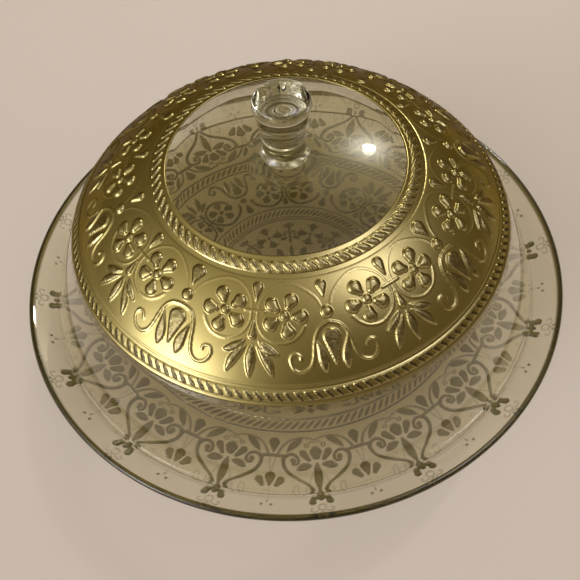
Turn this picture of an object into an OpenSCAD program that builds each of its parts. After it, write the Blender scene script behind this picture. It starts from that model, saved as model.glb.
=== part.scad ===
// Covered cake plate in pressed glass: a footed plate with an upturned rim, a loose
// cover that stands inside the rim, a gilt band over the cover's shoulder and a solid
// glass knob on its crown. Millimetres, +Z up. The origin is on the common axis, at
// the level of the table that the foot ring stands on.

/* [Plate] */
// Diameter over the rounded edge of the plate
plate_d = 330; // [322:1:350]
// Height of the centre of the rounded edge above the table
edge_z = 12.4; // [12:0.2:20]
// Diameter of the rounded edge's own section
edge_bead_d = 4.4; // [3.6:0.2:5.4]
// Diameter of the flat floor of the plate
floor_d = 285; // [283:1:288]
// Height of the top of the floor above the table
floor_z = 5; // [4.6:0.2:5]
// Thickness of the floor
floor_t = 3.2; // [2.8:0.2:3.6]
// Diameter of the step that keeps the cover centred
riser_d = 298.6; // [298.2:0.2:301]
// Height of the top of the step above the table
riser_z = 7; // [6.8:0.2:8.4]
// Height of the ledge that the cover stands on, above the table
ledge_z = 5.2; // [5.2:0.2:5.8]
// Inner diameter of the foot ring
foot_in_d = 198.2; // [180:0.2:204]
// Outer diameter of the foot ring
foot_out_d = 213.2; // [208:0.2:240]

/* [Cover] */
// Outer diameter of the cover at its base
base_d = 296.8; // [295:0.2:297.2]
// Thickness of the rounded base of the cover
base_t = 3.6; // [3.2:0.2:4.2]
// Thickness of the clear wall
wall_t = 3; // [2.4:0.2:3.4]
// Thickness of the shoulder and crown
crown_t = 4.2; // [3.4:0.2:5]
// How far the clear wall bows outwards between its ends
wall_bow = 1.4; // [0:0.2:3]
// Outer diameter at the lower edge of the gilt band
gilt_low_d = 248.2; // [240:0.2:252]
// Height of the lower edge of the gilt band above the table
gilt_low_z = 64.1; // [56:0.1:67]
// Outer diameter at the lower groove
low_groove_d = 235.2; // [230:0.2:238]
// Height of the lower groove above the table
low_groove_z = 71.3; // [69.4:0.1:75]
// Outer diameter at the upper groove
up_groove_d = 146; // [140:0.2:152]
// Height of the upper groove above the table
up_groove_z = 101.7; // [95:0.1:103.4]
// How far the shoulder bows outwards between the grooves
shoulder_bow = 3.4; // [1:0.2:6]
// Outer diameter of the clear crown window
window_d = 126.8; // [120:0.2:132]
// Height of the edge of the window above the table
window_z = 105.7; // [104:0.1:106.4]
// Height of the flat seat for the knob above the table
seat_z = 111; // [108.4:0.1:112.4]
// Diameter of the flat seat for the knob
seat_d = 27; // [26:0.2:30]

/* [Gilt band] */
// Thickness of the gilt layer over the shoulder
gilt_t = 0.3; // [0.2:0.05:0.5]

/* [Knob] */
// Diameter of the head of the knob
head_d = 29.8; // [26:0.2:34]
// Diameter of the neck of the knob
neck_d = 22; // [18:0.2:24]
// Diameter of the base flange of the knob
flange_d = 25.6; // [24.6:0.2:26]
// Height of the whole knob
knob_h = 38.4; // [34:0.2:42]

/* [Hidden] */
$fn = 96;
// steps along a bowed length of a section, and round a rounded corner
bow_n = 14;
round_n = 10;

// Point at fraction t along a chord from a to b that bows outwards by s
function bow_pt(a, b, s, t) =
    let (d = b - a, l = norm(d), n = [-d[1], d[0]] / l)
    a + d * t + n * (4 * s * t * (1 - t));
// A bowed length from a to b in n steps; n is positive for a length that runs
// outwards and down, where the left-hand normal points up and out
function bowed(a, b, s, n) = [for (i = [0:n]) bow_pt(a, b, s, i / n)];
// An arc about c with radius r, from angle a0 to angle a1
function arc_pts(c, r, a0, a1, n) =
    [for (i = [0:n]) let (a = a0 + (a1 - a0) * i / n) c + r * [cos(a), sin(a)]];
// The left-hand normal at point i of a run of points
function nrm(p, i) =
    let (a = p[max(0, i - 1)], b = p[min(len(p) - 1, i + 1)], d = b - a)
    [-d[1], d[0]] / norm(d);
// A run of points moved inwards by t, where t may change along the run
function inset(p, t0, t1) =
    [for (i = [0:len(p) - 1])
        p[i] - nrm(p, i) * (t0 + (t1 - t0) * i / (len(p) - 1))];
// A run of points in the opposite order
function rev(p) = [for (i = [len(p) - 1:-1:0]) p[i]];

// Outer section of the cover's shoulder, from the window's edge to the lower edge
// of the gilt band; this is the outside of the gilt layer
shoulder = concat(
    bowed([window_d / 2, window_z], [up_groove_d / 2, up_groove_z], 0.35, 4),
    [for (i = [1:bow_n]) bow_pt([up_groove_d / 2, up_groove_z],
        [low_groove_d / 2, low_groove_z], shoulder_bow, i / bow_n)],
    [for (i = [1:4]) bow_pt([low_groove_d / 2, low_groove_z],
        [gilt_low_d / 2, gilt_low_z], 0.35, i / 4)]);
// The same section on the glass itself, under the gilt layer
shoulder_glass = inset(shoulder, gilt_t, gilt_t);
// Outside of the clear wall, from just under the gilt band to the rounded base
wall = bowed([gilt_low_d / 2 + 0.5, gilt_low_z - 1.8],
    [base_d / 2, ledge_z + base_t * 0.62], wall_bow, 10);
// Outside of the clear crown, from the knob's seat to the window's edge
crown = bowed([seat_d / 2, seat_z], [window_d / 2 - 0.15, window_z - gilt_t], 0.9, 8);
// Inside of the cover, from the crown to the base
inside = concat(
    [[0, seat_z - crown_t - 0.6], [seat_d / 2, seat_z - crown_t - 0.6]],
    [for (i = [2:8]) inset(crown, crown_t, crown_t)[i]],
    [for (i = [2:len(shoulder_glass) - 3]) inset(shoulder_glass, crown_t, crown_t)[i]],
    [for (i = [1:9]) inset(wall, crown_t, wall_t)[i]]);

module plate() {
    er = edge_bead_d / 2;
    ec = [plate_d / 2 - er, edge_z];
    lip = atan2(edge_z + 0.6 - riser_z, ec[0] - riser_d / 2);
    under = floor_z - floor_t;
    color([0.80, 0.79, 0.68, 0.45])
    rotate_extrude($fn = 180)
    polygon(concat(
        [[0, floor_z], [0, under]],
        // foot ring
        [[foot_in_d / 2 - 0.6, under], [foot_in_d / 2, 0.4], [foot_in_d / 2 + 0.5, 0],
         [foot_out_d / 2 - 0.5, 0], [foot_out_d / 2, 0.4], [foot_out_d / 2 + 0.6, under]],
        // underside of the floor, riser and rim
        [[riser_d / 2 - 4.6, under], [riser_d / 2 + 1.4, riser_z - 3.6]],
        // rounded edge
        arc_pts(ec, er, -90 + lip, 90 + lip, 2 * round_n),
        // top of the rim, the step, the ledge, the slope and the floor
        [[riser_d / 2 + 0.9, riser_z + 0.25], [riser_d / 2 + 0.1, riser_z - 0.2],
         [riser_d / 2 - 0.3, ledge_z + 0.2], [riser_d / 2 - 0.6, ledge_z],
         [riser_d / 2 - 4.1, ledge_z],
         [floor_d / 2 + 0.6, (floor_z + ledge_z) / 2], [floor_d / 2 - 0.8, floor_z]]));
}

module dome() {
    color([0.84, 0.83, 0.74, 0.35])
    rotate_extrude($fn = 180)
    polygon(concat(
        [[0, seat_z]],
        crown,
        [for (i = [1:len(shoulder_glass) - 1]) shoulder_glass[i]],
        wall,
        // rounded base, with a flat ring that stands on the ledge of the plate
        [[base_d / 2 - 0.1, ledge_z + base_t * 0.34], [base_d / 2 - 0.4, ledge_z + base_t * 0.12],
         [base_d / 2 - base_t * 0.26, ledge_z], [base_d / 2 - base_t * 0.75, ledge_z],
         [base_d / 2 - base_t * 0.95, ledge_z + base_t * 0.14],
         [base_d / 2 - base_t, ledge_z + base_t * 0.4]],
        rev(inside)));
}

module gilt_band() {
    n = len(shoulder);
    color([0.72, 0.60, 0.28])
    rotate_extrude($fn = 180)
    polygon(concat(
        [for (i = [1:n - 1]) shoulder[i]],
        [for (i = [n - 1:-1:1]) shoulder_glass[i]]));
}

module knob() {
    z0 = seat_z;
    k = knob_h / 38.4;
    hr = head_d / 2;
    nr = neck_d / 2;
    fr = flange_d / 2;
    color([0.88, 0.87, 0.80, 0.35])
    rotate_extrude($fn = 120)
    polygon(concat(
        [[0, z0]],
        // base flange, plain neck and two rings
        [[fr - 0.3, z0], [fr, z0 + 0.9], [fr - 0.2, z0 + 2.2], [fr - 1.0, z0 + 3.1],
         [nr + 0.2, z0 + 4.2 * k], [nr, z0 + 5.4 * k], [nr, z0 + 10.6 * k],
         [nr + 0.5, z0 + 11.4 * k], [nr + 0.5, z0 + 12.3 * k], [nr + 0.15, z0 + 13.1 * k],
         [nr + 0.6, z0 + 13.9 * k], [nr + 0.6, z0 + 14.9 * k]],
        // body, widening up to the head
        bowed([nr + 0.8, z0 + 16.0 * k], [hr - 0.6, z0 + 30.2 * k], -0.15, 8),
        // rim of the head
        [[hr - 0.15, z0 + 30.9 * k], [hr, z0 + 31.6 * k], [hr - 0.1, z0 + 33.2 * k],
         [hr - 0.55, z0 + 34.4 * k]],
        // domed top
        [for (i = [1:8]) let (a = 90 * i / 8)
            [(hr - 0.55) * cos(a), z0 + 34.4 * k + 4.0 * k * sin(a)]]));
}

plate();
dome();
gilt_band();
knob();
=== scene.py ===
# Looks for the covered cake plate: plate, cover and knob in pressed glass, with a gilt band of
# fired gold on the cover's shoulder. All four turn about the z axis, the plate's foot stands at
# z 0, and -y is the front. Lengths are millimetres at the design size until a mesh is written,
# and metres after that. Sections are runs of (radius, height).
import bpy
import math
import numpy as np
from mathutils import Matrix, Vector


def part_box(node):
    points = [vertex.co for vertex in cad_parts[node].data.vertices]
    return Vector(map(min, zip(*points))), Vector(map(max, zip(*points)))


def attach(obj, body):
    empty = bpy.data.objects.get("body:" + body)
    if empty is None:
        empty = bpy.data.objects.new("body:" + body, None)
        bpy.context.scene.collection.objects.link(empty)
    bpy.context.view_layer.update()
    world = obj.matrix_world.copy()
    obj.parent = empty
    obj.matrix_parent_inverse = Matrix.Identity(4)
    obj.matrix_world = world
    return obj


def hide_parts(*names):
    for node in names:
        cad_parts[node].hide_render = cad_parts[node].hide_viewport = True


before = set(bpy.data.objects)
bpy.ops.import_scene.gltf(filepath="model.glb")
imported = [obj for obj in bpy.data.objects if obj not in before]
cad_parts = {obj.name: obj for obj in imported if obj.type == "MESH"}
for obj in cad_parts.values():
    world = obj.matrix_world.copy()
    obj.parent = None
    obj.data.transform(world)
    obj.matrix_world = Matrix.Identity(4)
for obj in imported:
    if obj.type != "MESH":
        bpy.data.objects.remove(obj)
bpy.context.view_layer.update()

# ---------------------------------------------------------------- sizes from the frame
plate_lo, plate_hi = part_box("plate")
dome_lo, dome_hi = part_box("dome")
gilt_lo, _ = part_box("gilt_band")
knob_lo, knob_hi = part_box("knob")
DESIGN_WIDTH = 0.330                    # plate width in metres at the design size
UNIT = 0.001 * ((plate_hi.x - plate_lo.x) / DESIGN_WIDTH)   # metres in one millimetre here

EDGE_RADIUS = 2.2                       # rounded edge of the plate
EDGE_Z = plate_hi.z / UNIT - EDGE_RADIUS
LEDGE_Z = dome_lo.z / UNIT
SEAT_Z = knob_lo.z / UNIT
PLATE_RADIUS = plate_hi.x / UNIT
BASE_RADIUS = dome_hi.x / UNIT
HEAD_RADIUS = knob_hi.x / UNIT
KNOB_HEIGHT = (knob_hi.z - knob_lo.z) / UNIT
GILT_FOOT = 64.1                        # design height of the gilt band's lower edge
LIFT = gilt_lo.z / UNIT - GILT_FOOT     # shift of the cover's heights from the design
SEAT_GAP = 0.03                         # between the knob or the cover and the seat height


# ---------------------------------------------------------------- sections
def bowed(start, end, bow, count):
    """Points from start to end on a parabola whose middle stands off the chord by bow."""
    start, end = np.array(start, float), np.array(end, float)
    chord = end - start
    normal = np.array([-chord[1], chord[0]]) / np.hypot(*chord)
    return [start + chord * (i / count) + normal * (4 * bow * (i / count) * (1 - i / count))
            for i in range(count + 1)]


def arc(centre, radius, start, end, count):
    angles = [math.radians(start + (end - start) * i / count) for i in range(count + 1)]
    return [(centre[0] + radius * math.cos(angle), centre[1] + radius * math.sin(angle))
            for angle in angles]


def normals(run):
    tangent = np.empty_like(run)
    tangent[1:-1] = run[2:] - run[:-2]
    tangent[0] = run[1] - run[0]
    tangent[-1] = run[-1] - run[-2]
    normal = np.stack([-tangent[:, 1], tangent[:, 0]], 1)
    return normal / np.maximum(np.hypot(normal[:, 0], normal[:, 1]), 1e-9)[:, None]


def inset(run, first, last=None):
    """The run moved inwards by a depth that goes from first to last."""
    run = np.array(run, float)
    depth = np.linspace(first, first if last is None else last, len(run))[:, None]
    return run - normals(run) * depth


def resample(run, step):
    """Points along a run, no further apart than step, keeping the run's own corners."""
    run = np.array(run, float)
    out = [run[0]]
    for start, end in zip(run[:-1], run[1:]):
        count = max(1, int(math.ceil(np.hypot(*(end - start)) / step - 1e-6)))
        out += [start + (end - start) * (i + 1) / count for i in range(count)]
    return np.array(out)


def even(run, step):
    """Points evenly spaced along a run, and their distances along it."""
    length = np.concatenate([[0], np.cumsum(np.hypot(*np.diff(run, axis=0).T))])
    along = np.linspace(0, length[-1], int(round(length[-1] / step)) + 1)
    points = np.stack([np.interp(along, length, run[:, i]) for i in (0, 1)], 1)
    return points, along


# the cover's shoulder, from its upper edge down and out
SHOULDER = np.array(bowed((63.4, 105.7), (73.0, 101.7), 0.35, 8)
                    + bowed((73.0, 101.7), (117.6, 71.3), 3.4, 36)[1:]
                    + bowed((117.6, 71.3), (124.1, GILT_FOOT), 0.35, 8)[1:])
SHOULDER[:, 1] += LIFT


# ---------------------------------------------------------------- motif shapes
# Each gives the distance to its outline, negative inside. x runs round the axis and y outwards.
def capsule(x, y, start, end, start_radius, end_radius):
    run_x, run_y = end[0] - start[0], end[1] - start[1]
    length2 = run_x * run_x + run_y * run_y + 1e-12
    along = np.clip(((x - start[0]) * run_x + (y - start[1]) * run_y) / length2, 0, 1)
    away = np.hypot(x - start[0] - along * run_x, y - start[1] - along * run_y)
    return away - (start_radius + (end_radius - start_radius) * along)


def drop(x, y, centre, radius, tip):
    return capsule(x, y, centre, tip, radius, 0.25)


def drop_rim(x, y, centre, radius, tip):
    return np.abs(drop(x, y, centre, radius, tip) + 0.35) - 0.3


def disc(x, y, centre, radius):
    return np.hypot(x - centre[0], y - centre[1]) - radius


def dot(x, y, centre, radius):
    """A disc drawn as a line, so that its tint reaches its outline."""
    return disc(x, y, centre, radius)


def ring(x, y, centre, radius, half):
    return np.abs(disc(x, y, centre, radius)) - half


def leaf(x, y, base, tip, width, peak, bend=0.0):
    """A pointed leaf, widest at the fraction peak of its length and bent sideways."""
    run_x, run_y = tip[0] - base[0], tip[1] - base[1]
    length = math.hypot(run_x, run_y)
    dir_x, dir_y = run_x / length, run_y / length
    along = ((x - base[0]) * dir_x + (y - base[1]) * dir_y) / length
    inside = np.clip(along, 0, 1)
    across = (x - base[0]) * -dir_y + (y - base[1]) * dir_x - bend * 4 * inside * (1 - inside)
    power = math.log(0.5) / math.log(peak)
    half = 0.5 * width * np.sin(math.pi * inside ** power) ** 0.85
    over = np.maximum(np.maximum(-along, along - 1), 0) * length
    return np.where(over > 0, np.hypot(np.abs(across), over), (np.abs(across) - half) * 0.9)


def stroke(x, y, points, first, last=None):
    """A line through points, whose half width runs from first to last."""
    last = first if last is None else last
    count = len(points) - 1
    widths = [first + (last - first) * i / count for i in range(count + 1)]
    return np.minimum.reduce([capsule(x, y, points[i], points[i + 1], widths[i], widths[i + 1])
                              for i in range(count)])


def curve(x, y, points, first, last=None):
    """A stroke along a smooth run (Catmull-Rom) through points."""
    knots = [np.array(point, float) for point in points]
    knots = [2 * knots[0] - knots[1]] + knots + [2 * knots[-1] - knots[-2]]
    run = []
    for before, start, end, after in zip(knots, knots[1:], knots[2:], knots[3:]):
        for i in range(5):
            t = i / 5
            run.append(0.5 * ((2 * start) + (end - before) * t
                              + (2 * before - 5 * start + 4 * end - after) * t * t
                              + (3 * start - before - 3 * end + after) * t ** 3))
    return stroke(x, y, run + [knots[-2]], first, last)


FILLED = (capsule, drop, disc, leaf)    # the other shapes are drawn as lines


def polar(radius, degrees, centre_y=0.0):
    angle = math.radians(degrees)
    return radius * math.cos(angle), centre_y + radius * math.sin(angle)


def pillow(distance, height, rounding):
    """Height over a shape: flat inside, rounded off over the width rounding at its outline."""
    inner = np.clip((0.12 - distance) / rounding, 0, 1)
    return height * np.sqrt(np.clip(1 - (1 - inner) ** 2, 0, 1))


def soft(distance, blur=0.7):
    inner = np.clip(0.5 - distance / blur, 0, 1)
    return inner * inner * (3 - 2 * inner)


class Relief:
    """Relief height and motif tint on a grid, built up shape by shape."""

    def __init__(self, shape):
        self.height = np.zeros(shape)
        self.motif = np.zeros(shape)

    def line(self, distance, height, rounding, motif=0.0, shrink=0.0):
        self.height = np.maximum(self.height, pillow(distance, height, rounding))
        self.motif = np.maximum(self.motif, motif * soft(distance + shrink))

    def fill(self, distance, height, rounding, motif=1.0):
        """A raised shape whose tint stops a little inside its outline."""
        self.line(distance, height, rounding, motif, shrink=0.25)

    def draw(self, x, y, shapes, paired=()):
        """Draw shapes once, and paired ones on both sides of the y axis."""
        for flip, rows in ((1, shapes), (-1, paired), (1, paired)):
            for shape, measures, *finish in rows:
                put = self.fill if shape in FILLED else self.line
                put(shape(x * flip, y, *measures), *finish)


def draw_rope(relief, angle, y, middle, half, count, lean, height, motif, fat, mean_radius,
              band=0.0):
    """A ring of count slanted oval beads between middle-half and middle+half, each filling fat of
    its share of the ring, on a raised band. A negative height sinks them into the surface."""
    phase = (angle * count / (2 * math.pi) + lean * (y - middle)) % 1.0
    pitch = 2 * math.pi * mean_radius / count
    slant = math.hypot(1, lean * pitch)
    across = np.abs((phase - 0.5) * pitch / slant)
    along = np.abs((y - middle) / half)
    wide = 0.5 * fat * pitch / slant
    bead = wide * np.sqrt(np.clip(1 - along ** 2.6, 0, 1))
    distance = np.where(along < 1, across - bead,
                        np.hypot(np.maximum(across - 0.1, 0), (along - 1) * half))
    beads = height * pillow(distance, 1.0, wide * 0.95)
    if height >= 0:
        step = np.clip((half + 0.5 - np.abs(y - middle)) / 0.5, 0, 1)
        relief.height = np.maximum(relief.height, band * step * step * (3 - 2 * step))
    relief.height = relief.height + beads
    relief.motif = np.maximum(relief.motif, motif * soft(distance + 0.12, 0.5))


def wrap(angle, period):
    return (angle + period / 2) % period - period / 2


# ---------------------------------------------------------------- flower, tulip and spray
# Rows of every motif table: shape, its measures, height, rounding, and tint if not the default.
FLOWER_Y = 29.6
PETAL_ANGLES = range(174, 534, 72)
HEART_OF_TULIP = (disc, ((0, FLOWER_Y), 2.8), 1.45, 2.7, 0.45)

# a bell of two legs and a long drop under a scrolled arch, each as (single, paired)
BROAD_TULIP = (
    ((drop, ((0, 42.0), 4.5, (0, 55.9)), 0.75, 1.6),
     (drop, ((0, 17.2), 3.7, (0, 23.6)), 1.05, 2.6, 0.8),
     HEART_OF_TULIP),
    ((curve, ([(0, 34.9), (5.2, 36.0), (8.6, 39.6), (10.2, 44.6), (11.4, 50.2), (13.4, 55.4),
               (17.2, 58.2), (21.2, 57.2), (23.2, 53.6), (22.5, 50.3), (20.3, 49.0),
               (18.4, 50.0), (18.2, 51.8)], 0.62, 0.5), 0.62, 0.62),
     (leaf, ((8.6, 40.6), (5.6, 59.2), 5.0, 0.66, 0.9), 0.7, 1.3)))
SLIM_TULIP = (
    ((drop, ((0, 42.0), 4.1, (0, 55.9)), 0.75, 1.6),
     (drop_rim, ((0, 42.2), 4.1, (0, 55.9)), 0.85, 0.4),
     (drop, ((0, 16.4), 2.6, (0, 21.8)), 1.05, 2.6, 0.8),
     HEART_OF_TULIP),
    ((curve, ([(0, 34.4), (4.6, 36.4), (7.7, 40.6), (9.3, 45.4), (10.5, 51.0), (12.9, 55.4),
               (17.2, 57.5), (20.8, 56.1), (22.0, 52.2), (21.0, 49.2), (18.6, 48.2),
               (16.7, 49.6), (16.8, 51.3)], 0.5), 0.62, 0.62),
     (leaf, ((8.6, 40.6), (5.6, 59.2), 4.4, 0.66, 0.9), 0.7, 1.3)))

# the flower's stems meet on its +x side
NEAR_STEM = [(12.9, 27.8), (11.5, 22.8), (7.6, 17.6), (2.8, 14.4), (-1.8, 13.9), (-6.4, 15.4),
             (-11.6, 18.7)]
FAR_STEM = [(12.9, 27.8), (13.3, 33.2), (10.9, 38.8), (5.8, 42.2), (1.2, 43.0), (-4.1, 41.6),
            (-7.8, 38.4), (-9.8, 35.0)]
FLOWER = [(capsule, (polar(4.9, a, FLOWER_Y), polar(7.9, a, FLOWER_Y), 1.55, 3.35), 1.35, 3.0, 0.62)
          for a in PETAL_ANGLES] + [
    (disc, ((0, FLOWER_Y), 2.2), 1.1, 2.1, 0.5),
    (curve, (NEAR_STEM + [(-15.6, 22.6), (-17.8, 26.6)], 0.26, 0.32), 0.18, 0.6),
    (curve, (FAR_STEM, 0.32, 0.60), 0.28, 0.6)]

SPRAY = (
    ((drop, ((0, 16.2), 2.5, (0, 22.8)), 0.95, 2.0, 0.75),
     (stroke, ([(-4.8, 27.8), (4.8, 27.8)], 0.45), 0.4, 0.6),
     (drop, ((0, 39.6), 1.8, (0, 32.4)), 0.85, 1.5, 0.8),
     (leaf, ((0, 44.0), (0, 60.4), 4.5, 0.46), 0.95, 2.0)),
    ((leaf, ((2.6, 44.6), (12.0, 59.2), 4.1, 0.52, -1.0), 0.95, 1.9),
     (leaf, ((3.4, 42.0), (14.0, 48.6), 3.9, 0.52, 0.9), 0.95, 1.8)))


# ---------------------------------------------------------------- mesh building
def revolve(name, section, columns, offset, attributes, row_columns=None):
    """A body of revolution from a run of (r, z), whose angle starts at the front and grows
    towards +x. A run that starts at r 0 ends there too, and any other run is closed. offset and
    attributes hold one value per row and column. Rows may use fewer columns: row_columns gives
    each row a whole divisor of columns."""
    section = np.array(section, float)
    rows = len(section)
    closed = section[0][0] > 1e-6
    if closed:
        normal = normals(np.vstack([section[-1], section, section[0]]))[1:-1]
    else:
        normal = normals(section)
    pole = section[:, 0] < 1e-6
    counts = np.where(pole, 1, columns if row_columns is None else row_columns)
    start = np.concatenate([[0], np.cumsum(counts)[:-1]])
    places, around, values = [], [], {key: [] for key in attributes}
    for i, count in enumerate(counts):
        every = columns // count
        angle = np.arange(count) * (2 * math.pi / count)
        push = offset[i][::every] * (not pole[i])
        radius = section[i, 0] + normal[i, 0] * push
        height = section[i, 1] + normal[i, 1] * push
        places.append(np.stack([radius * np.sin(angle), -radius * np.cos(angle), height], 1))
        around.append(np.arange(count) / count)
        for key in attributes:
            values[key].append(attributes[key][i][::every])
    places = np.vstack(places) * UNIT

    quads, triangles = [np.zeros((0, 4), int)], [np.zeros((0, 3), int)]
    pairs = [(i, i + 1) for i in range(rows - 1)] + ([(rows - 1, 0)] if closed else [])
    for i, j in pairs:
        here, there = [start[row] + np.arange(counts[row]) for row in (i, j)]
        if pole[i]:
            triangles.append(np.stack([np.full(len(there), start[i]), there,
                                       np.roll(there, -1)], 1))
        elif pole[j]:
            triangles.append(np.stack([here, np.full(len(here), start[j]),
                                       np.roll(here, -1)], 1))
        elif counts[i] == counts[j]:
            quads.append(np.stack([here, there, np.roll(there, -1), np.roll(here, -1)], 1))
        else:
            # fans join the row of many columns to the row of few
            fine, coarse = (here, there) if counts[i] > counts[j] else (there, here)
            ratio = len(fine) // len(coarse)
            following = np.roll(coarse, -1)
            fans = [np.stack([coarse if k < ratio / 2 else following, fine[k::ratio],
                              np.roll(fine, -1)[k::ratio]], 1) for k in range(ratio)]
            fans.append(np.stack([coarse, fine[ratio // 2::ratio], following], 1))
            triangles += [fan if fine is there else fan[:, ::-1] for fan in fans]
    quads, triangles = np.vstack(quads), np.vstack(triangles)

    mesh = bpy.data.meshes.new(name)
    mesh.vertices.add(len(places))
    mesh.vertices.foreach_set("co", places.astype(np.float32).ravel())
    loops = np.concatenate([quads.ravel(), triangles.ravel()]).astype(np.int32)
    mesh.loops.add(len(loops))
    mesh.loops.foreach_set("vertex_index", loops)
    starts = np.concatenate([np.arange(len(quads)) * 4,
                             quads.size + np.arange(len(triangles)) * 3]).astype(np.int32)
    mesh.polygons.add(len(starts))
    mesh.polygons.foreach_set("loop_start", starts)
    mesh.polygons.foreach_set("use_smooth", np.ones(len(starts), bool))
    mesh.update(calc_edges=True)
    mesh.validate()

    # one seam at the front: u runs round the axis and v along the section
    along = np.repeat((np.arange(rows) + 0.5) / rows, counts)
    loop_vertex = np.empty(len(loops), np.int32)
    mesh.loops.foreach_get("vertex_index", loop_vertex)
    loop_u = np.concatenate(around)[loop_vertex]
    for part in (loop_u[:quads.size].reshape(-1, 4), loop_u[quads.size:].reshape(-1, 3)):
        part[(part.max(1) > 0.75)[:, None] & (part < 0.25)] += 1.0
    layer = mesh.uv_layers.new(name="OFBake")
    layer.data.foreach_set("uv", np.stack([np.clip(loop_u, 0, 1), along[loop_vertex]],
                                          1).astype(np.float32).ravel())
    for key in values:
        attribute = mesh.attributes.new(key, "FLOAT", "POINT")
        attribute.data.foreach_set("value", np.concatenate(values[key]).astype(np.float32))
    body = bpy.data.objects.new(name, mesh)
    bpy.context.scene.collection.objects.link(body)
    return body


# ---------------------------------------------------------------- gilt band
GILT_COLUMNS = 1216
GILT_PATTERN = 74.7                     # the pattern's length down the shoulder
GILT_THICK = 0.24
GILT_MOTIFS = ((8.9, SLIM_TULIP), (53.8, BROAD_TULIP), (-13.35, SPRAY), (31.5, SPRAY))  # degrees
GILT_FLOWERS = ((-22.7, 1), (-4.1, -1), (22.2, 1), (40.8, -1))      # degrees, side of the stems
# distance down the band, half width, height
GILT_RIDGES = ((0.7, 0.7, 0.4), (2.0, 0.3, 0.2), (8.75, 0.45, 0.35), (64.4, 0.4, 0.25),
               (74.0, 0.6, 0.3))
# distance down the band, depth, width, tint; the tint paints shade into the sunk groove
GILT_GROOVES = ((10.0, 1.0, 0.95, 1.7), (65.6, 0.60, 0.45, 1.6), (72.6, 0.2, 0.4, 0.8))


def build_gilt():
    outer, down = even(SHOULDER, 0.56)
    down = down * (GILT_PATTERN / down[-1])
    angles = np.arange(GILT_COLUMNS) * (2 * math.pi / GILT_COLUMNS)
    # the motifs are drawn on one quarter and repeated
    angle, y = np.meshgrid(angles[:GILT_COLUMNS // 4], down)
    radius = np.interp(y, down, outer[:, 0])
    relief = Relief(y.shape)

    def across(degrees):
        return wrap(angle - math.radians(degrees), math.pi / 2) * radius

    for degrees, motif in GILT_MOTIFS:
        relief.draw(across(degrees), y, *motif)
    for degrees, side in GILT_FLOWERS:
        relief.draw(across(degrees) * side, y, FLOWER)
    relief.height = np.tile(relief.height, (1, 4))
    relief.motif = np.tile(relief.motif, (1, 4))

    angle, y = np.meshgrid(angles, down)
    draw_rope(relief, angle, y, middle=5.7, half=2.55, count=78, lean=-0.16, height=0.62,
              motif=0.9, band=0.3, fat=0.66, mean_radius=68.5)
    draw_rope(relief, angle, y, middle=69.5, half=2.3, count=152, lean=-0.155, height=0.14,
              motif=1.6, band=0.3, fat=0.5, mean_radius=121.2)
    for middle, half, height in GILT_RIDGES:
        relief.line(np.abs(y - middle) - half, height, half)
    # each groove is sunk and darkened with painted shade, near black where its tint is over 1
    for middle, depth, width, tint in GILT_GROOVES:
        groove = np.exp(-((y - middle) / width) ** 2)
        relief.height -= depth * groove
        relief.motif = np.maximum(relief.motif, tint * groove)

    # painted highlight: crests, where the relief curves over most, are coloured lighter as if they
    # catch more light
    height = relief.height
    crest_highlight = np.zeros_like(height)
    crest_highlight[1:-1] = 2 * height[1:-1] - height[2:] - height[:-2]
    crest_highlight += 2 * height - np.roll(height, 1, 1) - np.roll(height, -1, 1)
    crest_highlight = np.clip(crest_highlight / 0.5, 0, 1)

    # the back of the band stays smooth
    inner, _ = even(inset(SHOULDER, GILT_THICK), 2.2)
    back = np.zeros((len(inner), GILT_COLUMNS))
    return revolve("gilt_band_relief", np.vstack([outer, inner[::-1]]), GILT_COLUMNS,
                   np.vstack([height, back]),
                   {"motif": np.vstack([relief.motif, back]), "edge": np.vstack([crest_highlight, back])})


# ---------------------------------------------------------------- plate
FLOOR_Z, UNDER_Z, STEP_Z = 5.0, 1.8, 7.0
PLATE_COLUMNS = 1280
PLAIN, PRESSED, FOOT_SIDE, FOOT_FACE, EDGE = range(5)   # kinds of surface along the section
PLATE_FLOOR = [(0, FLOOR_Z), (60, FLOOR_Z), (110, FLOOR_Z), (141.7, FLOOR_Z)]
PLATE_STEP = [(143.1, 5.1), (145.2, 5.2), (148.5, 5.2), (148.85, 5.3), (149.1, 6.6),
              (149.4, 6.95), (150.2, 7.25), (151.4, 7.75)]
PLATE_UNDER = [(151.8, 4.1), (150.4, 3.35), (148.0, 2.45), (145.4, 1.9), (143.6, UNDER_Z)]
FOOT_OUTSIDE = [(107.3, UNDER_Z), (106.85, 1.1), (106.55, 0.3), (106.0, 0.0)]
FOOT_INSIDE = [(99.7, 0.0), (99.15, 0.3), (98.85, 1.1), (98.4, UNDER_Z)]

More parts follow.
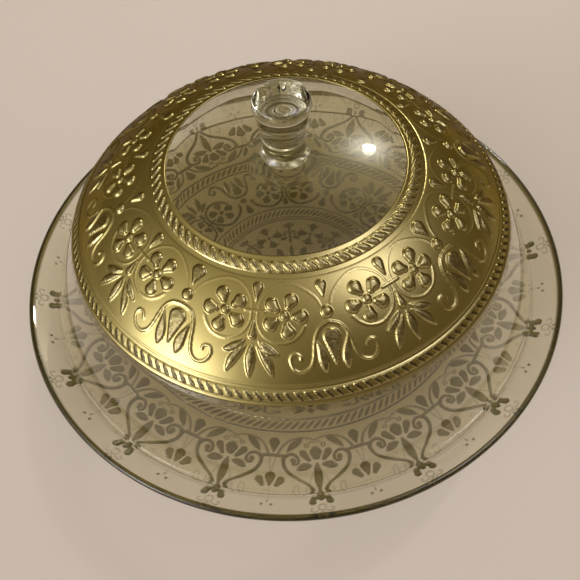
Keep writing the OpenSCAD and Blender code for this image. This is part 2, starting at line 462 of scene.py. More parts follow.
# hearts and blossoms between the foot ring and the rim, with y the radius
HEART_SECTOR = math.pi / 8
HEART = (
    ((leaf, ((0, 126.4), (0, 146.6), 5.3, 0.44), 0.7, 0.9),
     (capsule, ((0, 149.7), (0, 151.4), 2.1, 1.3), 0.7, 1.0, 1.3),
     (ring, ((0, 158.0), 2.1, 0.38), 0.3, 0.4, 0.62),
     (dot, ((0, 161.2), 0.6), 0.3, 0.6, 0.7)),
    (  # outline of the heart and its curl
     (curve, ([(17.6, 122.3), (18.5, 125.4), (17.9, 129.4), (15.4, 133.0), (11.3, 136.2),
               (7.0, 139.6), (3.7, 143.6), (1.3, 147.2), (0.4, 149.2)], 1.0, 0.72), 0.7, 0.8, 1.0),
     (curve, ([(17.6, 122.8), (15.4, 121.5), (12.6, 121.3), (10.5, 123.0), (10.0, 125.6),
               (11.2, 127.3), (13.2, 127.2)], 0.85, 0.75), 0.6, 0.7, 1.0),
     (disc, ((12.9, 125.2), 1.9), 0.5, 0.8),
     # bar towards the next heart
     (curve, ([(17.0, 122.6), (20.0, 122.0), (24.4, 121.8)], 0.92, 0.85), 0.6, 0.7, 1.0),
     # petals, side leaves, small rings and lines about the flower
     (capsule, ((7.0, 120.8), (4.2, 125.0), 2.3, 1.3), 0.7, 0.9),
     (leaf, ((2.2, 128.3), (11.8, 130.9), 4.8, 0.5, -0.75), 0.7, 0.9),
     (ring, ((4.7, 116.3), 1.0, 0.45), 0.4, 0.5, 0.75),
     (curve, ([(3.6, 115.4), (2.6, 114.2), (1.2, 114.2), (0, 114.4)], 0.42), 0.3, 0.4, 0.6),
     (curve, ([(2.2, 116.9), (0.9, 117.2), (0, 117.0)], 0.3), 0.2, 0.4, 0.4),
     (curve, ([(2.9, 133.5), (4.9, 138.0), (6.4, 141.3)], 0.3), 0.2, 0.3, 0.38),
     # small curls outside the heart
     (curve, ([(7.4, 142.6), (8.6, 146.8), (10.8, 148.6), (13.4, 147.6), (14.4, 144.0),
               (13.6, 141.2), (12.0, 141.4), (11.6, 143.6)], 0.36), 0.25, 0.35, 0.5),
     # trefoil and scroll beyond the tip
     (capsule, ((4.2, 151.2), (4.8, 153.6), 1.7, 2.0), 0.7, 1.1, 1.35),
     (capsule, ((1.4, 150.0), (3.9, 151.0), 0.9, 1.2), 0.6, 0.8, 1.3),
     (curve, ([(2.4, 160.2), (3.8, 160.9), (5.6, 160.6), (6.2, 159.2), (5.0, 158.6)], 0.36),
      0.25, 0.4, 0.6),
     (dot, ((1.6, 162.0), 0.75), 0.3, 0.6, 0.8)))
BETWEEN_HEARTS = (
    ((drop, ((0, 113.8), 3.1, (0, 120.4)), 0.7, 0.9),
     (capsule, ((0, 134.9), (0, 140.8), 3.15, 0.9), 0.7, 0.9),
     (stroke, ([(0, 144.0), (0, 149.2)], 0.35, 0.3), 0.2, 0.3, 0.4),
     (drop, ((0, 153.1), 0.7, (0, 150.4)), 0.3, 0.6, 1.1)),
    ((stroke, ([(1.7, 123.4), (0.4, 131.6)], 0.34), 0.22, 0.3, 0.55),
     (capsule, ((5.9, 136.9), (4.0, 140.4), 2.5, 1.6), 0.7, 0.9),
     (curve, ([(1.6, 145.2), (3.0, 144.0), (3.9, 145.3), (3.5, 147.4)], 0.32), 0.2, 0.3, 0.38),
     (curve, ([(2.4, 121.8), (4.4, 117.0), (8.2, 112.9), (13.5, 111.2), (18.4, 111.6),
               (22.0, 112.9)], 0.7, 0.42), 0.4, 0.6, 0.85),
     (leaf, ((15.6, 111.2), (7.2, 120.4), 4.6, 0.45, 0.7), 0.6, 0.9),
     (disc, ((2.6, 155.0), 1.0), 0.4, 0.8, 1.2)))

# the band's flowers again for the plate, with heavier lines
LOW = 0.45                              # height of the relief inside the foot ring
LOW_FLOWER = [(capsule, (polar(5.2, a, FLOWER_Y), polar(8.0, a, FLOWER_Y), 1.7, 3.7), LOW, 1.2)
              for a in PETAL_ANGLES] + [
    (disc, ((0, FLOWER_Y), 2.0), LOW, 1.0),
    (curve, (NEAR_STEM + [(-15.2, 22.6), (-16.8, 26.6)], 0.85, 1.0), LOW, 0.9, 1.0),
    (curve, (FAR_STEM, 0.85, 1.3), LOW, 0.9, 1.0)]
LOW_TULIP = (
    ((drop, ((0, 42.6), 4.4, (0, 57.0)), LOW, 1.2),
     (drop, ((0, 16.8), 3.4, (0, 24.0)), LOW, 1.2),
     (disc, ((0, FLOWER_Y), 3.0), LOW, 1.4)),
    ((curve, ([(0, 34.6), (5.0, 36.2), (8.4, 40.4), (10.2, 46.0), (11.6, 52.0), (15.0, 57.6),
               (20.0, 58.4), (23.0, 54.6), (21.4, 51.0), (18.4, 51.2), (18.6, 53.6)],
              1.0, 0.95), LOW, 0.9, 1.0),
     (leaf, ((8.2, 41.0), (5.6, 59.6), 5.2, 0.62, 0.9), LOW, 1.1)))
LOW_SPRAY = (
    ((drop, ((0, 16.4), 2.6, (0, 22.4)), LOW, 1.1),
     (stroke, ([(-5.0, 27.8), (5.0, 27.8)], 0.8), LOW, 0.8, 1.0),
     (drop, ((0, 39.6), 2.2, (0, 32.8)), LOW, 1.0),
     (leaf, ((0, 43.6), (0, 60.6), 5.2, 0.46), LOW, 1.2)),
    ((leaf, ((2.6, 44.4), (12.6, 59.6), 5.0, 0.52, -1.0), LOW, 1.2),
     (leaf, ((3.4, 41.8), (15.0, 48.8), 4.6, 0.52, 0.9), LOW, 1.2)))

# medallion: a four-petalled flower about its own centre, and a stem with y the radius
BLOSSOM_RADIUS = 36.0
BLOSSOM = [(capsule, (polar(2.2, a), polar(6.5, a), 0.5, 2.7), LOW, 1.1)
           for a in (0, 90, 180, 270)] + [
    (disc, (polar(7.9, a + turn), 0.85), LOW, 0.8)
    for a in (0, 90, 180, 270) for turn in (-24, 24)] + [
    (disc, ((0, 0), 1.3), LOW, 0.9)]
STEM = (
    ((stroke, ([(0, 28.0), (0, 41.0)], 0.45, 0.75), LOW, 0.6, 1.0),
     (drop, ((0, 43.0), 2.0, (0, 39.6)), LOW, 0.9),
     (disc, ((0, 30.0), 1.3), LOW, 0.8),
     (leaf, ((0, 14.0), (0, 26.0), 3.2, 0.6), LOW, 0.9)),
    ((leaf, ((0.9, 32.6), (6.4, 31.2), 2.8, 0.55, 0.5), LOW, 0.9),
     (curve, ([(0.4, 36.2), (2.6, 37.6), (4.2, 36.2), (3.4, 34.7), (2.4, 35.5)], 0.5),
      LOW, 0.5, 0.9),
     (drop, ((2.9, 43.2), 1.1, (1.4, 40.6)), LOW, 0.7)))


def heart_relief(angle, radius):
    relief = Relief(angle.shape)
    angle = wrap(angle - math.radians(1.9), HEART_SECTOR)
    for turn in (-HEART_SECTOR, 0.0, HEART_SECTOR):
        x = (angle - turn) * radius
        relief.fill(capsule(x * 0.98, radius, (0, 120.9), (0, 122.6), 3.6, 2.6), 0.7, 0.9)
        relief.draw(x, radius, *HEART)
        relief.draw((angle - turn - HEART_SECTOR / 2) * radius, radius, *BETWEEN_HEARTS)
    return relief


def floral_relief(angle, radius):
    """Floral band between the two rope rings."""
    relief = Relief(angle.shape)
    shrink = 0.755                      # size against the gilt band's motifs
    y = 13.2 + (radius + 3.3 - 64.2) / shrink
    spray_axis, tulip_axis, flower_turn = 2.1, 24.8, 8.6

    def across(degrees):
        return wrap(angle - math.radians(degrees), math.pi / 4) * radius / shrink

    for side in (1, -1):
        relief.draw(across(spray_axis - side * flower_turn) * side, y, LOW_FLOWER)
    relief.draw(across(tulip_axis), y, *LOW_TULIP)
    relief.draw(across(spray_axis), y, *LOW_SPRAY)
    return relief


def medallion_relief(angle, radius):
    """Four-petalled flowers and slender stems round the middle."""
    relief = Relief(angle.shape)
    sector = math.pi / 4
    angle = wrap(angle - math.radians(24.6), sector)
    for turn in (-sector, 0.0, sector):
        x = (angle - turn) * radius
        relief.draw(x, radius - BLOSSOM_RADIUS, BLOSSOM)
        relief.draw((angle - turn - sector / 2) * radius, radius, *STEM)
        relief.fill(leaf(x, radius, (0, 13.0), (0, 24.5), 4.4, 0.6), LOW, 1.0)
    relief.line(np.abs(radius - 10.6) - 0.35, 0.3, 0.5, 0.8)
    relief.fill(radius - 3.6, LOW, 1.4)
    relief.fill(leaf(angle * radius, radius, (0, 4.6), (0, 9.6), 2.8, 0.6), LOW, 0.9)
    return relief


def plate_section():
    """The section's points, with the columns and the kind of surface of each."""
    edge_centre = (PLATE_RADIUS - EDGE_RADIUS, EDGE_Z)
    tilt = math.degrees(math.atan2(EDGE_Z + 0.6 - STEP_Z, edge_centre[0] - 149.3))
    edge = arc(edge_centre, EDGE_RADIUS, 90 + tilt, -90 + tilt, 22)
    # run, longest step, columns, kind; each run goes on from the end of the one before
    runs = ((PLATE_FLOOR, 30, 320, PLAIN),
            (PLATE_FLOOR[-1:] + PLATE_STEP, 3, 320, PLAIN),
            ([PLATE_STEP[-1], edge[0]], 4.0, 320, PLAIN),
            (edge, 9, 320, EDGE),
            ([edge[-1], PLATE_UNDER[0]], 0.66, 1280, PRESSED),
            (PLATE_UNDER, 0.7, 1280, PRESSED),
            ([PLATE_UNDER[-1], FOOT_OUTSIDE[0]], 0.66, 1280, PRESSED),
            (FOOT_OUTSIDE, 0.7, 1280, FOOT_SIDE),
            ([FOOT_OUTSIDE[-1], FOOT_INSIDE[0]], 0.5, 1280, FOOT_FACE),
            (FOOT_INSIDE, 0.7, 640, FOOT_SIDE),
            ([FOOT_INSIDE[-1], (47.0, UNDER_Z)], 0.66, 640, PRESSED),
            ([(47.0, UNDER_Z), (2.4, UNDER_Z)], 0.66, 320, PRESSED),
            ([(2.4, UNDER_Z), (0, UNDER_Z)], 3, 320, PRESSED))
    points, columns, kinds = [PLATE_FLOOR[0]], [320], [PLAIN]
    for run, step, count, kind in runs:
        added = resample(run, step)[1:]
        points += list(added)
        columns += [count] * len(added)
        kinds += [kind] * len(added)
    return np.array(points), np.array(columns), np.array(kinds)


def build_plate():
    section, columns, kind = plate_section()
    row_radius = section[:, 0]
    angles = np.arange(PLATE_COLUMNS) * (2 * math.pi / PLATE_COLUMNS)
    angle, radius = np.meshgrid(angles, row_radius)
    height, motif = np.zeros(radius.shape), np.zeros(radius.shape)
    pressed = kind == PRESSED

    # each pattern is drawn on one sector and repeated
    for rows, pattern, sectors in (
            (pressed & (row_radius > 107.6), heart_relief, 16),
            (pressed & (row_radius > 59.6) & (row_radius < 98.3), floral_relief, 8),
            (pressed & (row_radius < 47.3), medallion_relief, 8)):
        count = PLATE_COLUMNS // sectors
        relief = pattern(angle[rows, :count], radius[rows, :count])
        height[rows] = np.tile(relief.height, (1, sectors))
        motif[rows] = np.tile(relief.motif, (1, sectors))

    # beads sunk into the foot ring, and painted shade as a dark line at each of its corners
    rows = kind == FOOT_FACE
    relief = Relief(radius[rows].shape)
    draw_rope(relief, angle[rows], radius[rows], middle=102.85, half=2.75, count=152, lean=0.22,
              height=-0.5, motif=1.0, fat=0.6, mean_radius=103.2)
    height[rows], motif[rows] = relief.height, relief.motif
    foot = ((kind == FOOT_SIDE) | (kind == FOOT_FACE))[:, None]
    for middle in (106.7, 99.0):
        motif = np.maximum(motif, 0.95 * soft(np.abs(radius - middle) - 0.5) * foot)

    # small rope ring between the floral band and the medallion
    rows = pressed & (row_radius >= 47.3) & (row_radius <= 59.6)
    relief = Relief(radius[rows].shape)
    draw_rope(relief, angle[rows], radius[rows], middle=54.0, half=2.5, count=108, lean=0.24,
              height=0.4, motif=1.0, fat=0.56, mean_radius=54.0)
    for middle in (58.4, 49.9, 48.1):
        relief.line(np.abs(radius[rows] - middle) - 0.45, 0.35, 0.45, 0.85)
    height[rows], motif[rows] = relief.height, relief.motif

    # the thick rounded edge, coloured deep olive: partly the glass's own olive through its
    # thickness, partly painted shade for the dark reflections in it; and a line under the step
    low = pressed[:, None]
    edge = np.maximum((kind == EDGE)[:, None] * 1.0,
                      np.clip((radius - (PLATE_RADIUS - 2.9)) / 0.8, 0, 1))
    edge = np.maximum(edge, 0.30 * (np.exp(-((radius - 149.6) / 0.7) ** 2) * low))
    # painted shade: the floor gets darker in colour towards the middle, standing in for the shadow
    # of the cover and its gilt band
    painted_shade = np.clip((142.0 - radius) / 42.0, 0, 1)
    painted_shade = painted_shade * painted_shade * (3 - 2 * painted_shade)
    # painted shade: steep sides of the relief are tinted darker, standing in for the dark outlines
    # the relief shows through the glass
    slope_round = ((np.roll(height, -1, 1) - np.roll(height, 1, 1))
                   / (2 * math.radians(360 / PLATE_COLUMNS) * np.maximum(radius, 5)))
    slope_out = np.zeros_like(height)
    slope_out[1:-1] = (height[2:] - height[:-2]) / 1.32
    steep_shade = np.clip(np.hypot(slope_round, slope_out) / 0.7, 0, 1) * low
    motif = motif * (1 - 0.06 * low) + 0.40 * steep_shade * np.clip(motif * 2, 0, 1)
    return revolve("plate_glass", section, PLATE_COLUMNS, height,
                   {"motif": np.clip(motif, 0, 1.6), "edge": edge, "painted_shade": painted_shade}, columns)


# ---------------------------------------------------------------- cover
COVER_COLUMNS = 384
COVER_THICK = 4.2
SEAT_RADIUS = 13.5
BASE_THICK = 3.6


def build_cover():
    top = SEAT_Z - SEAT_GAP
    crown = np.array(bowed((SEAT_RADIUS, top), (63.25, 105.4 + LIFT), 0.9, 16))
    shoulder = inset(SHOULDER, 0.30)    # lies under the gilt band
    wall = np.array(bowed((124.6, 62.3 + LIFT), (BASE_RADIUS, LEDGE_Z + 2.23), 1.4, 20))
    # base rim: distance in from the base radius, height over the ledge
    base = [(BASE_RADIUS - inwards, LEDGE_Z + rise) for inwards, rise in (
        (0.1, BASE_THICK * 0.34), (0.4, BASE_THICK * 0.12), (BASE_THICK * 0.26, 0.02),
        (BASE_THICK * 0.75, 0.02), (BASE_THICK * 0.95, BASE_THICK * 0.14),
        (BASE_THICK, BASE_THICK * 0.4))]
    section = resample(np.vstack([
        [[0, top]], crown, shoulder[2:], [[124.35, 63.4 + LIFT]], wall, base,
        inset(wall, COVER_THICK, 3.0)[1:-2][::-1],
        inset(shoulder, COVER_THICK)[3:-3][::-1],
        inset(crown, COVER_THICK)[2:-1][::-1],
        [[SEAT_RADIUS, SEAT_Z - 4.8], [0, SEAT_Z - 4.8]]]), 4.0)
    radius, height = section.T
    angle, row = np.meshgrid(np.arange(COVER_COLUMNS) * (2 * math.pi / COVER_COLUMNS),
                             np.arange(len(section)))
    # pressed glass is never quite true: a slow wander of a few hundredths, none at the seat
    # and the base rim, and less at the height of the shoulder
    wander = 0.02 * np.sin(3 * angle + row * 0.21) + 0.015 * np.sin(5 * angle - row * 0.13 + 1.3)
    wander[radius < 15] = 0
    wander[(height < LEDGE_Z + 2) & (radius > 140)] = 0
    wander[(height > 63.4) & (height < 105.9)] *= 0.4
    # the lower edge of the shoulder is a little darker, and the crown is darkened with painted
    # shade, standing in for the shadowed floor seen through it
    rim = np.exp(-((height - 63.0 - LIFT) / 0.9) ** 2) * (radius > 123.5)
    crown_shade = 0.30 * np.clip((64.0 - radius) / 1.5, 0, 1) * (height > 90)
    edge = np.repeat(np.maximum(0.25 * rim, crown_shade)[:, None], COVER_COLUMNS, 1)
    return revolve("cover_glass", section, COVER_COLUMNS, wander,
                   {"motif": np.zeros(edge.shape), "edge": edge})


# ---------------------------------------------------------------- knob
KNOB_COLUMNS = 288
NECK_RADIUS, KNOB_FOOT_RADIUS = 11.0, 12.8
# distance out from the part's radius, height over the seat
KNOB_FOOT = ((-0.5, 0), (-0.1, 0.5), (0, 1.1), (-0.15, 2.0), (-0.7, 2.9))
KNOB_NECK = ((0.05, 5.0), (0, 10.2), (0.1, 10.9), (0.55, 11.5), (0.6, 12.2), (0.12, 12.9),
             (0.15, 13.4), (0.65, 14.0), (0.68, 14.8), (0.45, 15.4))
KNOB_HEAD = ((-0.12, 30.9), (0, 31.5), (-0.1, 33.2), (-0.55, 34.4))


def build_knob():
    bottom = SEAT_Z + SEAT_GAP
    stretch = (KNOB_HEIGHT - SEAT_GAP) / 38.4   # heights above the foot, against the design
    cap_radius = HEAD_RADIUS - 0.55
    run = [(0, bottom)]
    run += [(KNOB_FOOT_RADIUS + out, bottom + rise) for out, rise in KNOB_FOOT]
    run += [(NECK_RADIUS + 0.35, bottom + 3.9)]
    run += [(NECK_RADIUS + out, bottom + rise * stretch) for out, rise in KNOB_NECK]
    run += bowed((NECK_RADIUS + 0.8, bottom + 16.2 * stretch),
                 (HEAD_RADIUS - 0.6, bottom + 30.2 * stretch), -0.15, 14)
    run += [(HEAD_RADIUS + out, bottom + rise * stretch) for out, rise in KNOB_HEAD]
    run += [(cap_radius * math.cos(math.radians(90 * i / 14)),
             bottom + 34.4 * stretch + 4.0 * stretch * math.sin(math.radians(90 * i / 14)))
            for i in range(1, 14)]
    run += [(0, bottom + KNOB_HEIGHT - SEAT_GAP)]
    # smooth the corners of the rings a little
    fine = resample(run, 0.45)
    section = fine.copy()
    for _ in range(2):
        section[2:-2] = 0.25 * section[1:-3] + 0.5 * section[2:-2] + 0.25 * section[3:-1]
    section[:3] = fine[:3]
    section = section[::-1]
    radius = section[:, 0]
    angle, height = np.meshgrid(np.arange(KNOB_COLUMNS) * (2 * math.pi / KNOB_COLUMNS),
                                section[:, 1])
    rise = (height - bottom) / KNOB_HEIGHT
    # shallow flutes round the waist catch the light through the head
    waist = np.clip((rise - 0.42) / 0.06, 0, 1) * np.clip((0.74 - rise) / 0.10, 0, 1)
    push = -0.05 * np.abs(np.sin(9 * angle)) * waist
    push[radius < 6] = 0
    # an uneven cut in the underside, which sparkles through the head
    cut = (np.clip((radius - 1.0) / 4.0, 0, 1) * np.clip((11.6 - radius) / 1.2, 0, 1)
           * (section[:, 1] < bottom + 0.02))
    star = 0.5 + 0.5 * np.sin(3 * angle + 1.7) * np.sin(5 * angle + 0.4)
    push = push - 0.5 * star * cut[:, None]
    # painted shade: the neck is coloured darker, standing in for the glass under it that shows
    # through
    edge = 0.95 * np.clip((0.30 - rise) / 0.04, 0, 1) * np.clip((rise - 0.10) / 0.03, 0, 1)
    return revolve("knob_glass", section, KNOB_COLUMNS, push,
                   {"motif": np.zeros(edge.shape), "edge": edge})


# ---------------------------------------------------------------- materials
class Graph:
    """A cleared node tree. A value may be a number, a tuple or another node's output."""

    def __init__(self, owner):
        owner.use_nodes = True
        self.tree = owner.node_tree
        self.tree.nodes.clear()

    def add(self, kind, inputs=None, **settings):
        node = self.tree.nodes.new(kind)
        for key, value in settings.items():
            setattr(node, key, value)
        for key, value in (inputs or {}).items():
            socket = node.inputs[key]
            if isinstance(value, bpy.types.NodeSocket):
                self.tree.links.new(value, socket)
            elif socket.type == "RGBA":
                socket.default_value = (*value, 1.0)
            else:
                socket.default_value = value
        return node

    def math(self, operation, *values, clamp=False):
        return self.add("ShaderNodeMath", dict(enumerate(values)), operation=operation,
                        use_clamp=clamp).outputs[0]

    def times(self, value, factor, clamp=False):
        return self.math("MULTIPLY", value, factor, clamp=clamp)

    def mix(self, factor, first, second):
        return self.add("ShaderNodeMix", {0: factor, 6: first, 7: second},
                        data_type="RGBA").outputs[2]

    def vector(self, operation, inputs):
        node = self.add("ShaderNodeVectorMath", inputs, operation=operation)
        return node.outputs["Value" if operation == "DOT_PRODUCT" else "Vector"]

    def attribute(self, name):
        return self.add("ShaderNodeAttribute", attribute_name=name).outputs["Fac"]

    def position(self):
        return self.add("ShaderNodeTexCoord").outputs["Object"]

    def noise(self, position, scale, detail, rough):
        return self.add("ShaderNodeTexNoise", {"Vector": position, "Scale": scale,
                        "Detail": detail, "Roughness": rough}).outputs["Fac"]

    def bump(self, height, strength, distance, below=None):
        inputs = {"Strength": strength, "Distance": distance, "Height": height}
        if below is not None:
            inputs["Normal"] = below
        return self.add("ShaderNodeBump", inputs).outputs[0]


def shade(color, *factors):
    return tuple(c * k for c, k in zip(color, factors))


def glass_material(name, tint, motif_tint, edge_tint_and_shade, wave=0.02, ior=1.5,
                   lamp_tint=(0.995, 0.995, 0.985)):
    """Glass coloured by its attributes, some of which paint shade; wave is the strength of its slow
    ripple, and lamp_tint is the tint it gives to shadow and diffuse rays, which pass straight
    through."""
    material = bpy.data.materials.new(name)
    graph = Graph(material)
    position = graph.position()
    motif = graph.attribute("motif")
    edge = graph.attribute("edge")
    grain = graph.noise(position, scale=900.0, detail=2.0, rough=0.6)
    cloud = graph.noise(position, scale=16.0, detail=3.0, rough=0.5)
    # body colour: slightly cloudy, and darker where the painted shade attribute puts the cover's
    # shadow on the plate
    base = graph.mix(graph.times(cloud, 0.5), tint, shade(tint, 0.965, 0.965, 0.94))
    base = graph.mix(graph.attribute("painted_shade"), base, shade(tint, 0.70, 0.645, 0.42))
    # the motif's strength varies with the grain, and values over 1 darken its tint
    strength = graph.times(motif, graph.math("ADD", 0.93, graph.times(grain, 0.24)))
    deep = graph.math("SUBTRACT", motif, 1.0, clamp=True)
    dark = graph.mix(graph.times(deep, 1.5, clamp=True), motif_tint,
                     shade(motif_tint, 0.45, 0.45, 0.45))
    color = graph.mix(graph.math("MINIMUM", strength, 1.0), base, dark)
    # fine grain on the motif, over a slow ripple everywhere
    grained = graph.bump(graph.times(grain, motif), strength=0.35, distance=0.00012)
    slow = graph.noise(position, scale=42.0, detail=2.0, rough=0.4)
    glass = graph.add("ShaderNodeBsdfPrincipled", {
        "IOR": ior,
        "Base Color": graph.mix(edge, color, edge_tint_and_shade),
        # the edge attribute mixes in the edge colour, which holds painted shade on the crown and
        # the knob's neck and, on the plate's rim, olive with painted shade
        # the motif is rougher and lets less light through
        "Roughness": graph.times(strength, 0.14, clamp=True),
        "Transmission Weight": graph.math("SUBTRACT", 1.0,
                                          graph.times(strength, 0.20, clamp=True)),
        "Normal": graph.bump(slow, strength=wave, distance=0.002, below=grained)})
    # the motif also dims the light that passes straight through
    lamp = graph.mix(graph.times(motif, 0.45, clamp=True), lamp_tint,
                     shade(lamp_tint, 0.87, 0.87, 0.87))
    clear = graph.add("ShaderNodeBsdfTransparent", {"Color": lamp})
    path = graph.add("ShaderNodeLightPath").outputs
    through = graph.math("MAXIMUM", path["Is Shadow Ray"], path["Is Diffuse Ray"])
    mixed = graph.add("ShaderNodeMixShader",
                      {0: through, 1: glass.outputs[0], 2: clear.outputs[0]})
    graph.add("ShaderNodeOutputMaterial", {"Surface": mixed.outputs[0]})
    return material


def gold_material():
    material = bpy.data.materials.new("fired_gold")
    graph = Graph(material)
    position = graph.position()
    motif = graph.attribute("motif")
    edge = graph.attribute("edge")
    fine = graph.noise(position, scale=1400.0, detail=2.0, rough=0.6)
    mottle = graph.noise(position, scale=320.0, detail=4.0, rough=0.65)
    slow = graph.noise(position, scale=22.0, detail=3.0, rough=0.5)
    # plain gold, mottled inside the motifs, near black where motif is over 1, as on the lower
    # rope's dashes and in the sunk grooves, where it is painted shade, and a painted highlight on
    # crests
    ground = graph.mix(slow, (0.378, 0.310, 0.112), (0.348, 0.290, 0.114))
    mottled = graph.mix(graph.math("GREATER_THAN", mottle, 0.52),
                        (0.150, 0.120, 0.052), (0.265, 0.220, 0.105))
    inside = graph.times(motif, 0.85, clamp=True)
    deep = graph.math("SUBTRACT", motif, 1.0, clamp=True)
    dark = graph.mix(graph.times(deep, 2.0, clamp=True), mottled, (0.060, 0.046, 0.020))
    color = graph.mix(inside, ground, dark)
    # painted highlight: the crests are lightened
    color = graph.mix(graph.times(edge, 0.7, clamp=True), color, (0.50, 0.43, 0.20))
    # roughness wanders slowly, rises in the motifs and falls on the crests
    rough = graph.math("ADD", 0.21, graph.times(slow, 0.10))
    rough = graph.math("ADD", rough, graph.times(inside, 0.03))
    rough = graph.math("SUBTRACT", rough, graph.times(edge, 0.12, clamp=True))
    grained = graph.bump(fine, strength=0.25, distance=0.00008)
    gold = graph.add("ShaderNodeBsdfPrincipled", {
        "Metallic": 1.0,
        "Coat Weight": 0.15,
        "Coat Roughness": 0.16,
        "Specular Tint": (0.22, 0.17, 0.09),
        "Base Color": color,
        "Roughness": rough,
        "Normal": graph.bump(graph.times(mottle, motif), strength=0.75, distance=0.0006,
                             below=grained)})
    graph.add("ShaderNodeOutputMaterial", {"Surface": gold.outputs[0]})
    return material


def floor_material():
    material = bpy.data.materials.new("pale_floor")
    graph = Graph(material)
    patches = graph.noise(graph.position(), scale=3.0, detail=2.0, rough=0.5)
    paint = graph.add("ShaderNodeBsdfPrincipled", {
        "Base Color": graph.mix(patches, (0.70, 0.635, 0.575), (0.655, 0.59, 0.53)),
        "Roughness": 0.9,
        "Specular IOR Level": 0.15})
    graph.add("ShaderNodeOutputMaterial", {"Surface": paint.outputs[0]})
    return material


# ---------------------------------------------------------------- pieces on their bodies
plate = build_plate()
cover = build_cover()
gilt = build_gilt()
knob = build_knob()

plate.data.materials.append(glass_material(
    "pressed_plate_glass", tint=(0.88, 0.855, 0.70), motif_tint=(0.092, 0.074, 0.014),
    edge_tint_and_shade=(0.045, 0.034, 0.002)))
cover.data.materials.append(glass_material(
    "clear_cover_glass", tint=(0.97, 0.96, 0.90), motif_tint=(0.5, 0.5, 0.4),
    edge_tint_and_shade=(0.40, 0.36, 0.17), wave=0.015, lamp_tint=(0.935, 0.92, 0.88)))
knob.data.materials.append(glass_material(
    "solid_knob_glass", tint=(0.66, 0.64, 0.49), motif_tint=(0.5, 0.5, 0.4),
    edge_tint_and_shade=(0.16, 0.135, 0.05), wave=0.05, ior=1.52))
gilt.data.materials.append(gold_material())

for piece, body, cad, slot in ((plate, "plate", "plate", "plate_glass"),
                               (cover, "cover", "dome", "cover_glass"),
                               (gilt, "cover", "gilt_band", "gilt"),
                               (knob, "cover", "knob", "knob_glass")):
    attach(piece, body)
    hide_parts(cad)


# ---------------------------------------------------------------- floor, light, camera (metres)
def build_floor():
    cells = 24
    row = cells + 1
    ticks = np.linspace(-4, 4, row)
    corners = [(x, y, -0.0002) for y in ticks for x in ticks]
    faces = [(j * row + i, j * row + i + 1, (j + 1) * row + i + 1, (j + 1) * row + i)
             for j in range(cells) for i in range(cells)]
    mesh = bpy.data.meshes.new("studio_floor")
    mesh.from_pydata(corners, [], faces)
    floor = bpy.data.objects.new("studio_floor", mesh)
    bpy.context.scene.collection.objects.link(floor)
    floor.data.materials.append(floor_material())


def build_lamp():
    """A small round lamp behind the cover and to the right, aimed at it."""
    place, target = Vector((0.364, 0.818, 0.848)), Vector((0.044, 0, 0.105))
    light = bpy.data.lights.new("star_back", "AREA")
    light.shape = "ELLIPSE"
    light.size = light.size_y = 0.052
    light.energy = 1.3
    light.color = (1.0, 0.97, 0.90)
    light.spread = math.radians(180)
    lamp = bpy.data.objects.new("star_back", light)
    lamp.location = place
    lamp.rotation_euler = (target - place).to_track_quat("-Z", "Y").to_euler()
    bpy.context.scene.collection.objects.link(lamp)


AMBIENT = (0.205, 0.152, 0.068)
BACKDROP = (0.585, 0.475, 0.385)        # what the camera sees behind everything
# soft lights in the surroundings: azimuth (0 the front, 90 the right), elevation and spread
# in degrees, colour
GLOWS = ((-57, 12, 11, (7.4, 7.4, 8.4)), (-65, 31, 21, (1.50, 1.46, 1.30)),
         (83, 63, 9, (4.0, 4.0, 5.0)), (72, 68, 18, (0.24, 0.235, 0.27)),
         (0, 88, 26, (0.18, 0.16, 0.12)), (163, 43, 10, (0.75, 0.70, 0.50)),
         (159, 40, 2.5, (6.0, 5.8, 5.2)))


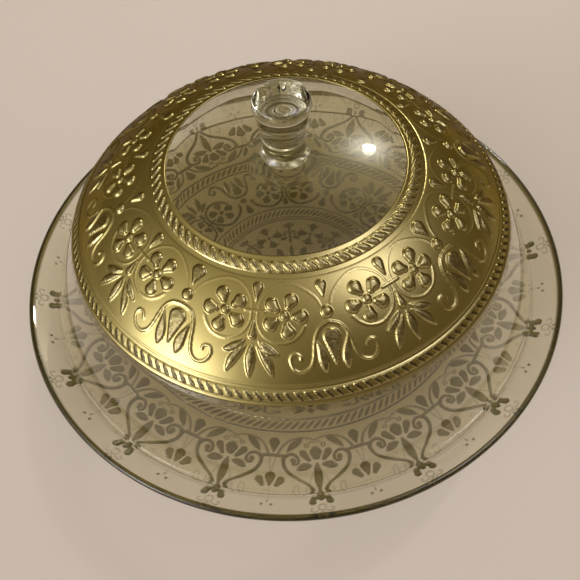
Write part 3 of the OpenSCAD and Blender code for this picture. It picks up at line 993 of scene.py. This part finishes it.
def build_world():
    world = bpy.data.worlds.new("studio")
    bpy.context.scene.world = world
    graph = Graph(world)
    direction = graph.add("ShaderNodeTexCoord").outputs["Generated"]
    light = AMBIENT
    for azimuth, elevation, spread, color in GLOWS:
        turn, tilt, width = [math.radians(v) for v in (azimuth, elevation, spread)]
        centre = (math.sin(turn) * math.cos(tilt), -math.cos(turn) * math.cos(tilt),
                  math.sin(tilt))
        near = graph.vector("DOT_PRODUCT", {0: direction, 1: centre})
        near = graph.math("SUBTRACT", near, 1.0)
        near = graph.math("EXPONENT", graph.times(near, 1.0 / (width * width)))
        glow = graph.vector("SCALE", {0: color, "Scale": near})
        light = graph.vector("ADD", {0: light, 1: glow})
    camera_ray = graph.add("ShaderNodeLightPath").outputs["Is Camera Ray"]
    background = graph.add("ShaderNodeBackground", {
        "Color": graph.mix(camera_ray, light, BACKDROP), "Strength": 1.0})
    graph.add("ShaderNodeOutputWorld", {"Surface": background.outputs[0]})


ELEVATION = math.radians(52.638)        # of the camera, in front of the plate
ROLL = math.radians(-4.408)
DISTANCE = 502.793                      # millimetres from the plate's axis at the edge's height
AIM_SLOPES = (-0.019273236, 0.13154367)  # that point's place right and up, per unit of depth


def build_camera():
    offset = np.array([0, -math.cos(ELEVATION) * DISTANCE, math.sin(ELEVATION) * DISTANCE])
    ahead = -offset / np.linalg.norm(offset)
    right = np.array([1.0, 0, 0])
    facing = np.stack([right, np.cross(right, ahead), -ahead], 1)
    roll = np.array([[math.cos(ROLL), -math.sin(ROLL), 0],
                     [math.sin(ROLL), math.cos(ROLL), 0], [0, 0, 1]])
    # turn the ray to the aimed point onto the camera's own axis
    ray = np.array([*AIM_SLOPES, -1.0])
    ray /= np.linalg.norm(ray)
    lens_axis = np.array([0, 0, -1.0])
    cross = np.cross(ray, lens_axis)
    sine, cosine = np.linalg.norm(cross), float(ray @ lens_axis)
    x, y, z = cross / sine
    skew = np.array([[0, -z, y], [z, 0, -x], [-y, x, 0]])
    turn = np.eye(3) + sine * skew + (1 - cosine) * skew @ skew

    data = bpy.data.cameras.new("camera")
    camera = bpy.data.objects.new("camera", data)
    bpy.context.scene.collection.objects.link(camera)
    matrix = Matrix((facing @ roll @ turn).tolist()).to_4x4()
    matrix.translation = Vector(((offset + np.array([0, 0, EDGE_Z])) * UNIT).tolist())
    camera.matrix_world = matrix
    data.sensor_width = 36.0
    data.lens = 49.356993
    data.shift_x = -0.033575862
    data.shift_y = 0.14288103
    data.clip_start = 0.01
    bpy.context.scene.camera = camera


build_floor()
build_lamp()
build_world()
build_camera()
bpy.context.scene.view_settings.view_transform = "Standard"
